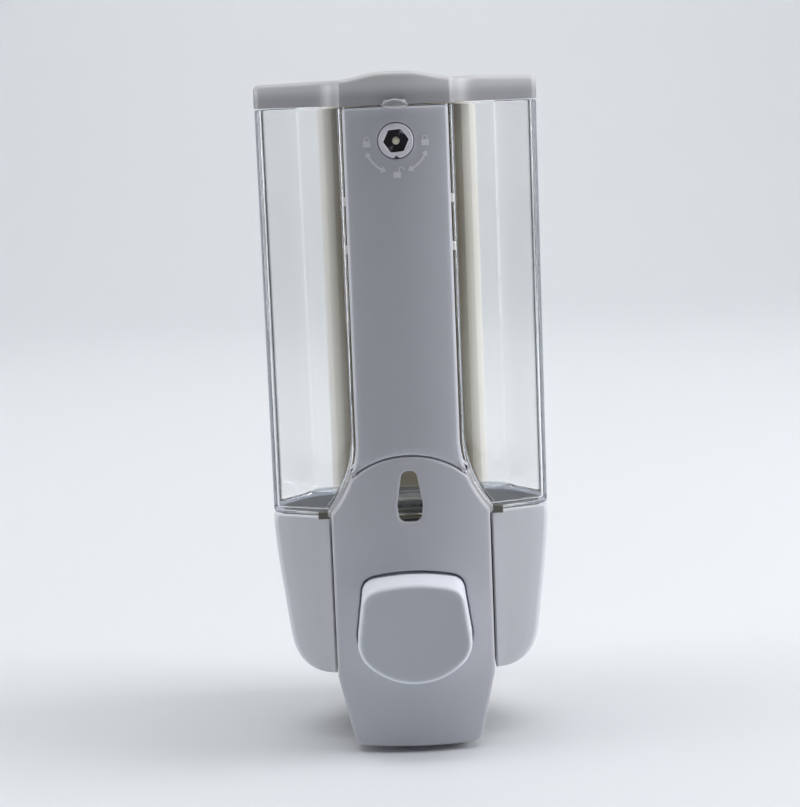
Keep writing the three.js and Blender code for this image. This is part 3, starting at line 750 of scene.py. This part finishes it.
def deck(top, inner):
    """The deck under the tank, the back wall with its screw bosses, and the bridge that holds the panel."""
    build = Build()
    edge = HALF_WIDTH - 1.2
    bulge = 22.2
    floor = [
        (bulge, -71.5, 1.5),
        (bulge, Y_WING + 1.2, 0.0),
        (edge, Y_CORNER + 1.2, 3.0),
        (edge, Y_SIDE, 8.0),
        (edge - BACK_TAPER, Y_BACK - 1.0, 4.0),
    ]
    port = circle(0, PORT_Y, 9.6)
    block(build, above, filleted(mirrored(floor), 3.0, 6), top - WALL, top - 0.1, 0.4, holes=[port])

    screw_bore = 1.7
    back = [(18.0, Z_CASING_FOOT, 6.0), (inner + 0.2, -80.0, 3.0), (inner + 0.2, top - 1.0, 0.4)]
    bores = [circle(x, z, screw_bore, 20) for x, z in FRAME_SCREWS]
    block(build, front, filleted(mirrored(back), 3.0), Y_BACK - WALL, Y_BACK, 0.3, holes=bores)
    root = Y_BACK - 1.0
    boss = [(screw_bore, root), (4.0, root), (4.0, -35.6), (3.6, -36.0), (screw_bore, -36.0)]
    for x, z in FRAME_SCREWS:
        turned(build, front, x, z, boss, 28)
    block(build, front, rectangle((-4, -69), (4, -61), 0.6, 3.0), -39.6, root, 0.3)

    bridge = [(17.0, -96.0, 1.0), (17.0, -85.0, 1.0), (24.0, -85.0, 0.8), (24.0, -80.0, 0.6)]
    bores = [circle(x, z, 1.9, 20) for x, z in PANEL_SCREWS]
    block(build, front, filleted(mirrored(bridge), 2.5), Y_WING, Y_WING + WALL, 0.3, holes=bores)
    finish(build.object("base_deck"), DECK_SHADED_GREY, "dispenser", "grey_plastic")


def tabs(top):
    """The two small tabs under the tank's front edge, coloured dark olive as painted shade."""
    build = Build()
    for side in (1, -1):
        near, far = sorted((side * 25.2, side * 29.2))
        block(build, above, rectangle((near, -66.3), (far, -65.0), 0.2), top - 0.3, top + 2.0, 0.2)
    finish(build.object("base_tabs"), TAB_SHADE, "dispenser", "grey_plastic")


def casing_ring(side, half, z, inner, inward):
    """One casing from above at one height, as a closed loop."""
    width = half - inner
    front_inner, front_outer = wing_y(inner) + inward, wing_y(half) + inward
    corners = [
        (inner, front_inner, 0.6),
        (half, front_outer, min(3.0, width * 0.35)),
        (half, Y_SIDE, min(8.0, width * 0.5)),
        (max(half - BACK_TAPER, inner + 0.8), Y_BACK - inward, 0.35),
        (inner, Y_BACK - inward, 0.2),
    ]
    return [above(side * u, v, z) for u, v in filleted(corners, 0, 6, pieces=3)]


# ---------- front column ----------
def column_front(x, z):
    """The column's face, slightly bowed."""
    return Y_FRONT + x * x / 100.0


def column():
    build = Build()
    end = seam_end(SEAM_GAP)
    top, corner_radius = COLUMN_HIGH[2], 1.2
    arch = [(x, seam(x, SEAM_GAP)) for x in np.linspace(0, end, 22)]
    side = [(flare(z), z) for z in np.linspace(arch[-1][1], FLARE_TOP, 12)[1:]]
    side += [(COLUMN_EDGE, z) for z in np.linspace(FLARE_TOP, top - corner_radius, 34)[1:]]
    corner = arc(COLUMN_EDGE - corner_radius, top - corner_radius, corner_radius, 15, 90, 6)
    head = line((COLUMN_EDGE - corner_radius, top), (0.0, top), 1.5)[1:]
    outline = mirrored([*arch, *side, *corner, *head, (0.0, top)])
    hole = circle(0, LOCK_Z, 5.55, 72)
    cover(build, front, outline, column_front, COLUMN_HIGH[1], 1.15, holes=[hole], hole_radius=0.3)
    # The boss behind the lock.
    bore, boss, boss_back, boss_front = 4.7, 7.5, -77.4, Y_FRONT + 2.4
    ring = [(bore, boss_back), (boss, boss_back), (boss, boss_front), (bore, boss_front)]
    turned(build, front, 0, LOCK_Z, ring, 40)

    clips = Build()
    for side in (1, -1):
        for z in CLIP_ROWS:
            near, far = sorted((side * (COLUMN_EDGE - 1.0), side * (COLUMN_EDGE + 1.0)))
            clip = rectangle((near, z - 1.25), (far, z + 1.25), 0.4)
            block(clips, front, clip, -76.0, COLUMN_HIGH[1], 0.4)
    # Painted highlight: the clips take the pale natural plastic, so that they show as bright glints beside
    # the column.
    finish(clips.object("column_clips"), NATURAL_AND_CLIP_GLINT, "dispenser", "grey_plastic")

    # The top wall is open behind the lock, where the cam turns and the lid's catch comes down.
    piece = notched(build.object("column_cover"), (-6, -77.3, Z_RIM - 5), (6, -70, Z_RIM + 1))
    finish(piece, GREY, "dispenser", "grey_plastic", "front_column")


# ---------- front panel ----------
def panel_front(x, z):
    """The panel's face, slightly bowed, and leaning back towards the foot."""
    lean = max(0.0, -78.0 - z)
    return Y_FRONT + 0.02 + x * x / 120.0 + lean**1.5 * 0.02


def button_outline(margin):
    """The button's front view, grown by a margin: a round foot, upright flanks and a nearly flat top."""
    foot_radius, reach = 20.9, 18.0
    top_z, corner, shoulder_x = -48.5, 5.2, 16.05
    centre = BUTTON_LOW[2] + 2.4 + foot_radius
    foot = [(x, centre - math.sqrt(foot_radius**2 - x * x)) for x in np.linspace(0, reach - 2.2, 12)]
    knee = (reach, centre - math.sqrt(foot_radius**2 - reach**2) + 0.3)
    crown = [(x, top_z - x * x / 100.0) for x in np.linspace(15.9 - corner, 0, 9)]
    bend = bezier(foot[-1], knee, (knee[0] - 0.2, knee[1] + 3.0), 7)[1:]
    shoulder = (shoulder_x, top_z - corner - 1.2)
    flank = line(bend[-1], shoulder, 1.2)[1:]
    top = bezier(shoulder, (shoulder_x - 0.2, top_z - 1.9), crown[0], 11)
    return inset(mirrored([*foot, *bend, *flank, *top, *crown[1:]]), -margin)


def window_outline():
    """The level window, egg-shaped with its wide end down."""
    return filleted(mirrored([(3.4, -32.7, 2.4), (3.95, -27.5, 8.0), (2.2, -16.8, 2.1)]), 0.8, 8)


def panel():
    build = Build()
    end = seam_end(-SEAM_GAP)
    shoulder = (PANEL_EDGE, SHOULDER)
    arch = [(x, seam(x, -SEAM_GAP)) for x in np.linspace(end, 0, 22)]
    side = [(flare(z), z) for z in np.linspace(SHOULDER, arch[0][1], 14)[:-1]]
    side[0] = shoulder
    corners = [
        (0.0, Z_FOOT, 0.0),
        (19.6, Z_FOOT, 4.0),
        (PANEL_EDGE, -82.0, 6.0),
        (*shoulder, 0.0),
        (0.0, SHOULDER, 0.0),
    ]
    foot = filleted(corners, 1.4, 8)
    foot = foot[: foot.index(min(foot, key=lambda p: math.dist(p, shoulder)))]
    outline = mirrored([*foot, *side, *arch])
    holes = [button_outline(0.42), window_outline()]
    cover(build, front, outline, panel_front, PANEL_HIGH[1], 1.0, holes=holes, hole_radius=0.75)
    back, bore, boss, boss_front = PANEL_HIGH[1], 1.6, 3.4, -81.0
    for x, z in PANEL_SCREWS:
        turned(build, front, x, z, [(bore, back), (boss, back), (boss, boss_front), (bore, boss_front)], 28)
    finish(build.object("panel_cover"), PANEL_GREY, "dispenser", "grey_plastic", "front_panel")


# ---------- button ----------
def button():
    build = Build()
    middle_z = -65.0

    def dished(x, z):
        """A shallow hollow for the thumb, deepest in the middle."""
        return BUTTON_LOW[1] + 0.9 + 0.8 * (1 - (x / 20.0) ** 2) * math.exp(-(((z - middle_z) / 17.0) ** 4))

    def sloped(x, z):
        """The front sits lower than the back at the top, so that the top side slopes."""
        return x, z - 1.2 * min(1.0, max(0.0, (z + 66.0) / 13.0)) ** 2

    back = BUTTON_HIGH[1]
    flange_front = back - 1.8
    cover(build, front, button_outline(0.0), dished, flange_front, 1.25, draft=0.3, rounds=8, lean=sloped)
    block(build, front, button_outline(1.9), flange_front, back, 0.3, holes=[button_outline(-WALL)])
    # The socket the plunger sits in.
    socket = [(2.9, -91.0), (6.5, -91.0), (6.5, -79.6), (6.1, -79.2), (2.9, -79.2)]
    turned(build, front, 0, middle_z, socket)
    finish(build.object("button_cap"), BUTTON_GREY, "button", "button_plastic", "push_button")


# ---------- lid ----------
LID_BASE = Z_RIM + 0.4
LID_BULGE = COLUMN_EDGE + BULGE_MARGIN  # half width of the part over the column


def lid_top(x, y):
    """Height of the lid: a ridge over the column that grows towards the front, on a slightly domed top."""
    dome = 102.1 + 0.8 * (1 - (abs(x) / HALF_WIDTH) ** 1.5)
    if abs(x) >= LID_BULGE:
        return dome
    forward = min(1.0, max(0.0, (Y_BACK - y) / (Y_BACK - Y_FRONT)))
    side = max(0.0, abs(x) / LID_BULGE - 0.2) / 0.8
    ridge = 0.5 + 0.5 * math.cos(math.pi * side)
    return dome + (0.4 + 1.5 * forward) * ridge


def lid():
    lid_shell()
    lid_tab()
    lid_catch()


def lid_shell():
    """The lid with its hinge barrel."""
    build = Build()
    overhang = 0.2  # beyond the tank, each side
    bow = [(x, Y_FRONT + 0.3 + x * x / 110.0) for x in np.linspace(0, LID_BULGE - 1.2, 16)]
    bow_end = bow[-1][1]
    corner = bezier(bow[-1], (LID_BULGE, bow_end + 0.3), (LID_BULGE + 0.1, bow_end + 2.6), 7)[1:]
    flank_end = (LID_BULGE + overhang, -74.5)
    flank = line(corner[-1], flank_end, 2.0)[1:]
    hollow = (LID_BULGE + 0.4, wing_y(X_WING) - 2.0)
    blend = bezier(flank_end, hollow, (LID_BULGE + 7.0, wing_y(LID_BULGE + 7.0)), 11)
    wing = [
        (*blend[-1], 0.0),
        (HALF_WIDTH + overhang, Y_CORNER, 3.2),
        (HALF_WIDTH + overhang, Y_SIDE, 9.0),
        (HALF_WIDTH - BACK_TAPER, Y_BACK, 4.0),
        (0.0, Y_BACK, 0.0),
    ]
    outline = mirrored([*bow, *corner, *flank, *blend, *open_path(wing, 2.0, 7)[1:]])
    cover(build, above, outline, lid_top, LID_BASE, 1.8, step=1.6, rounds=7)
    barrel, bore, half_length = 3.0, 1.8, 11.5
    section = [
        (HINGE_Y + barrel, HINGE_Z - barrel, 2.8),
        (HINGE_Y + barrel, HINGE_Z + barrel, 2.8),
        (Y_BACK - 1.0, HINGE_Z + barrel, 0.0),
        (Y_BACK - 1.0, HINGE_Z - 1.8, 0.0),
    ]
    pin_hole = circle(HINGE_Y, HINGE_Z, bore, 28)
    block(build, beside, filleted(section, 2.0), -half_length, half_length, 0.4, holes=[pin_hole])
    finish(build.object("lid_shell"), LID_GREY, "lid", "grey_plastic", "lid")


def lid_tab():
    """The finger tab: a lens-shaped end on a short neck."""
    build = Build()
    root, tip = -82.0, LID_LOW[1] + 0.9
    neck = [(-3.6, root, 0.0), (-3.4, tip, 1.6), (3.4, tip, 1.6), (3.6, root, 0.0)]
    block(build, above, filleted(neck, 1.0, 6), LID_BASE + 0.1, LID_BASE + 1.5, 0.6, rounds=5)
    left, right = (-4.1, LID_BASE - 0.1), (4.1, LID_BASE - 0.1)
    bottom, crown = (0.0, LID_BASE - 1.3), (0.0, LID_BASE + 1.8)
    lens = bezier(left, (-2.6, LID_BASE - 1.3), bottom, 9)
    lens += bezier(bottom, (2.6, LID_BASE - 1.3), right, 9)[1:]
    lens += bezier(right, (2.6, LID_BASE + 1.7), crown, 9)[1:]
    lens += bezier(crown, (-2.6, LID_BASE + 1.7), left, 9)[1:-1]
    block(build, front, lens, LID_LOW[1] + 0.3, Y_FRONT - 0.25, 0.85, rounds=5)
    finish(build.object("lid_tab"), LID_GREY, "lid", "grey_plastic")


def lid_catch():
    """The T-shaped catch under the lid, which the lock's cam holds."""
    build = Build()
    stem = rectangle((-0.9, 88.0), (0.9, 100.0), 0.1)
    foot = rectangle((-2.6, 87.9), (2.6, 89.7), 0.3)
    for outline in (stem, foot):
        block(build, front, outline, -74.6, -73.2, 0.15)
    finish(build.object("lid_catch"), LID_GREY, "lid", "grey_plastic")


# ---------- lock ----------
def lock():
    build = Build()
    radius, edge, lip = 5.25, 0.35, 0.25  # the plug, its rounded rim and the socket's chamfer
    notch_depth, notch_width = 0.8, 0.1
    face_y, back = LOCK_LOW[1], LOCK_HIGH[1] - 4.0
    socket = face_y + 5.1
    ring = []
    for a in np.radians(np.arange(0, 360, 5)):
        dip = notch_depth * math.exp(-(((a - 1.5 * math.pi) / notch_width) ** 4))
        ring.append(((radius - dip) * math.cos(a), LOCK_Z + (radius - dip) * math.sin(a)))
    key = 3.9  # the socket's radius across its corners
    turns = np.radians(np.arange(5, 365, 60))
    hexagon = filleted([(key * math.cos(a), LOCK_Z + key * math.sin(a), 0.25) for a in turns], 1.2, 3)
    mouth = inset(hexagon, -lip)

    def flat(loop, holes, y, step):
        for triangle in fill(loop, holes, step):
            build.face([front(u, v, y) for u, v in triangle])

    rings = [[front(u, v, back) for u, v in ring]]
    for a in quarter(4):
        loop = inset(ring, edge * (1 - math.cos(a)))
        rings.append([front(u, v, face_y + edge * (1 - math.sin(a))) for u, v in loop])
    build.skin(rings)
    flat(inset(ring, edge), [mouth], face_y, 0.8)
    depths = ((mouth, face_y), (hexagon, face_y + lip), (hexagon, socket))
    build.skin([[front(u, v, y) for u, v in loop] for loop, y in depths])
    flat(hexagon, [], socket, 1.5)
    flat(ring, [], back, 1.5)
    finish(build.object("lock_plug"), LOCK_GREY, "lock", "lock_plastic", "lock_cylinder")

    pin = Build()
    tip, foot, pin_radius = PIN_LOW[1], PIN_HIGH[1], 1.15
    bends = np.linspace(0.05, math.pi / 2, 7)
    dome = [(pin_radius * math.sin(a), tip + 0.5 * (1 - math.cos(a))) for a in bends]
    turned(pin, front, 0, LOCK_Z, [(0, foot), (0, tip), *dome, (pin_radius, foot)], 24)
    finish(pin.object("lock_key_pin"), PIN_WHITE, "lock", "pin_plastic", "lock_pin")


# ---------- symbols on the column ----------
def symbols():
    """A closed padlock at either side of the lock, an open one below it, and double arrows between."""
    build = Build()
    proud, sunk = 0.1, 0.2  # how far the symbols stand out of the column, and reach into it
    band_inner, band_middle, band_outer = 9.25, 9.6, 9.95
    barb_inner, barb_outer, barb_turn = 8.5, 10.7, 9
    arrows = ((-70, -19), (-161, -110))  # from and to, in degrees

    def raised(loop):
        for triangle in fill(loop, [], 0.8):
            build.face([front(u, v, column_front(u, v) - proud) for u, v in triangle])
        depths = (-proud, sunk)
        build.skin([[front(u, v, column_front(u, v) + depth) for u, v in loop] for depth in depths])

    def padlock(cx, cz, lifted=False):
        foot = cz + 0.15
        raised(rectangle((cx - 1.15, cz - 1.7), (cx + 1.15, foot), 0.25, 0.5, 4))
        shift, rise, gap = (1.3, 0.25, 0.5) if lifted else (0.0, 0.0, 0.0)
        x, z = cx + shift, cz + 0.6 + rise
        wide, narrow = 0.85, 0.5  # the shackle's outer and inner radius
        outer = [(x + wide, foot + gap), *arc(x, z, wide, 0, 180, 12), (x - wide, foot)]
        inner = [(x - narrow, foot), *arc(x, z, narrow, 180, 0, 10), (x + narrow, foot + gap)]
        raised([*outer, *inner])

    def spot(radius, angle):
        return arc(0, LOCK_Z, radius, angle, angle, 1)[0]

    padlock(-8.8, LOCK_Z)
    padlock(8.7, LOCK_Z)
    padlock(0.0, LOCK_Z - 9.4, lifted=True)
    for start, end in arrows:
        first, last = start + 6, end - 6
        raised(arc(0, LOCK_Z, band_outer, first, last, 14) + arc(0, LOCK_Z, band_inner, last, first, 14))
        for angle, turn in ((start, barb_turn), (end, -barb_turn)):
            tip = spot(band_middle, angle)
            outer, inner = spot(barb_outer, angle + turn), spot(barb_inner, angle + turn)
            raised([tip, outer, inner] if turn < 0 else [tip, inner, outer])
    finish(build.object("lock_symbols"), INK, "dispenser", "grey_plastic")


# ---------- pieces carried over from the CAD ----------
LOOKS = {
    "white_plastic": CREAM,
    "natural_plastic": NATURAL_AND_CLIP_GLINT,
    "black_rubber": RUBBER,
    "steel": STEEL,
    "clear_plastic": CLEAR,
    "grey_plastic": GREY,
    "button_plastic": BUTTON_GREY,
    "lock_plastic": LOCK_GREY,
    "pin_plastic": PIN_WHITE,
}

NODE_LOOKS = {"back_frame": FRAME_CREAM, "outlet_nut": NUT_SHADE}


def carried_over():
    """Gives every CAD node its look, smooth curves and slightly rounded edges."""
    slots = {row["node"]: row["material_slot"] for row in frame["record"]["subparts"]}
    for name, node in frame["nodes"].items():
        node.data.materials.clear()
        node.data.materials.append(NODE_LOOKS.get(name, LOOKS[slots[name]]))
        node.data.polygons.foreach_set("use_smooth", [True] * len(node.data.polygons))
        node.data.set_sharp_from_angle(angle=math.radians(CAD_CREASE))
        bevel = node.modifiers.new("edges", "BEVEL")
        bevel.width = 0.25 * MM
        bevel.segments = 2
        bevel.limit_method = "ANGLE"
        bevel.angle_limit = math.radians(40)
        bevel.use_clamp_overlap = True


carried_over()
tank()
base()
column()
panel()
button()
lid()
lock()
symbols()
# Each spring: node, turns, wire radius, axis, and the end that stays.
coil("return_spring", 4, 0.5, 1, 1)
coil("inlet_spring", 5, 0.3, 2, -1)
coil("outlet_spring", 5, 0.3, 2, -1)


# ---------- stage ----------
# Each lamp: name, place, aim and size in metres, power in watts.
LAMPS = [
    ("top", (0.0, 0.0, 1.2), (0, -0.05, 0), (1.6, 0.7), 9.2),
    ("top_front", (0.0, -0.30, 1.2), (0, -0.05, 0), (1.6, 0.4), 3.3),
    ("right_high", (1.1, -0.15, 0.55), (0, -0.05, 0), (0.6, 0.5), 7.4),
    ("right_low", (1.1, -0.15, 0.1), (0, -0.05, 0), (0.6, 0.4), 2.2),
    ("left_high", (-1.1, -0.15, 0.55), (0, -0.05, 0), (0.6, 0.5), 1.5),
    ("left_low", (-1.1, -0.15, 0.1), (0, -0.05, 0), (0.6, 0.4), 3.1),
    ("backdrop", (0.0, 0.7, 1.2), (0, 2.0, 0.35), (2.4, 0.5), 15.6),
]
ROOM_LIGHT = 0.01  # how much the room itself lights things
ROOM_FRONT = 0.25  # how bright it looks, behind the camera and behind the object
ROOM_BACK = 0.75


def studio():
    backdrop()
    room()
    for name, place, aim, size, power in LAMPS:
        lamp = bpy.data.lights.new(name, "AREA")
        lamp.shape = "RECTANGLE"
        lamp.size, lamp.size_y = size
        lamp.energy = power
        rig = bpy.data.objects.new(name, lamp)
        rig.location = place
        rig.rotation_euler = (Vector(aim) - Vector(place)).to_track_quat("-Z", "Y").to_euler()
        bpy.context.collection.objects.link(rig)


def backdrop():
    """A pale floor that bends up into a wall. Sizes are in metres."""
    floor_z = Z_FLOOR * MM
    half_width, near, depth, bend, height = 3.0, -3.0, 1.2, 0.8, 4.0
    rows = [(near, 0.0), (depth, 0.0)]
    bends = np.linspace(0.1, math.pi / 2, 14)
    rows += [(depth + bend * math.sin(a), bend * (1 - math.cos(a))) for a in bends]
    rows.append((depth + bend, height))
    mesh = bmesh.new()
    previous = None
    for y, z in rows:
        pair = [mesh.verts.new((x, y, floor_z + z)) for x in (-half_width, half_width)]
        if previous:
            mesh.faces.new((previous[0], previous[1], pair[1], pair[0]))
        previous = pair
    data = bpy.data.meshes.new("backdrop")
    mesh.to_mesh(data)
    mesh.free()
    data.polygons.foreach_set("use_smooth", [True] * len(data.polygons))
    floor = bpy.data.objects.new("backdrop", data)
    bpy.context.collection.objects.link(floor)
    paper, _, _, shader = material("paper")
    shader.inputs["Base Color"].default_value = (0.785, 0.81, 0.845, 1)
    shader.inputs["Roughness"].default_value = 0.8
    data.materials.append(paper)


def room():
    """What reflections show round the object: darker in front, brighter behind. It hardly lights anything."""
    world = bpy.data.worlds.new("studio")
    bpy.context.scene.world = world
    world.use_nodes = True
    nodes, links = world.node_tree.nodes, world.node_tree.links
    coords = nodes.new("ShaderNodeTexCoord")
    split = nodes.new("ShaderNodeSeparateXYZ")
    links.new(coords.outputs["Generated"], split.inputs["Vector"])
    ramp = remap(nodes, -1.0, 0.2, ROOM_FRONT, ROOM_BACK)
    path = nodes.new("ShaderNodeLightPath")
    pick = nodes.new("ShaderNodeMix")
    pick.data_type = "FLOAT"
    pick.inputs["B"].default_value = ROOM_LIGHT
    links.new(split.outputs["Y"], ramp.inputs["Value"])
    links.new(path.outputs["Is Diffuse Ray"], pick.inputs["Factor"])
    links.new(ramp.outputs["Result"], pick.inputs["A"])
    sky = nodes["Background"]
    sky.inputs["Color"].default_value = (0.92, 0.95, 1.0, 1)
    links.new(pick.outputs["Result"], sky.inputs["Strength"])


def camera():
    """A long lens at about the lid's height, looking a little down."""
    data = bpy.data.cameras.new("camera")
    data.lens = 97.84
    data.sensor_width = 36.0
    data.clip_end = 20.0
    rig = bpy.data.objects.new("camera", data)
    aside, down, roll = 0.52, 8.30, -2.26  # degrees
    turn = Matrix.Rotation(math.radians(aside), 4, "Z")
    turn @= Matrix.Rotation(math.radians(90 - down), 4, "X")
    turn @= Matrix.Rotation(math.radians(roll), 4, "Z")
    rig.matrix_world = Matrix.Translation((0.00415, -0.7466, 0.1010)) @ turn
    bpy.context.collection.objects.link(rig)
    bpy.context.scene.camera = rig


studio()
camera()
bpy.context.scene.view_settings.view_transform = "Standard"
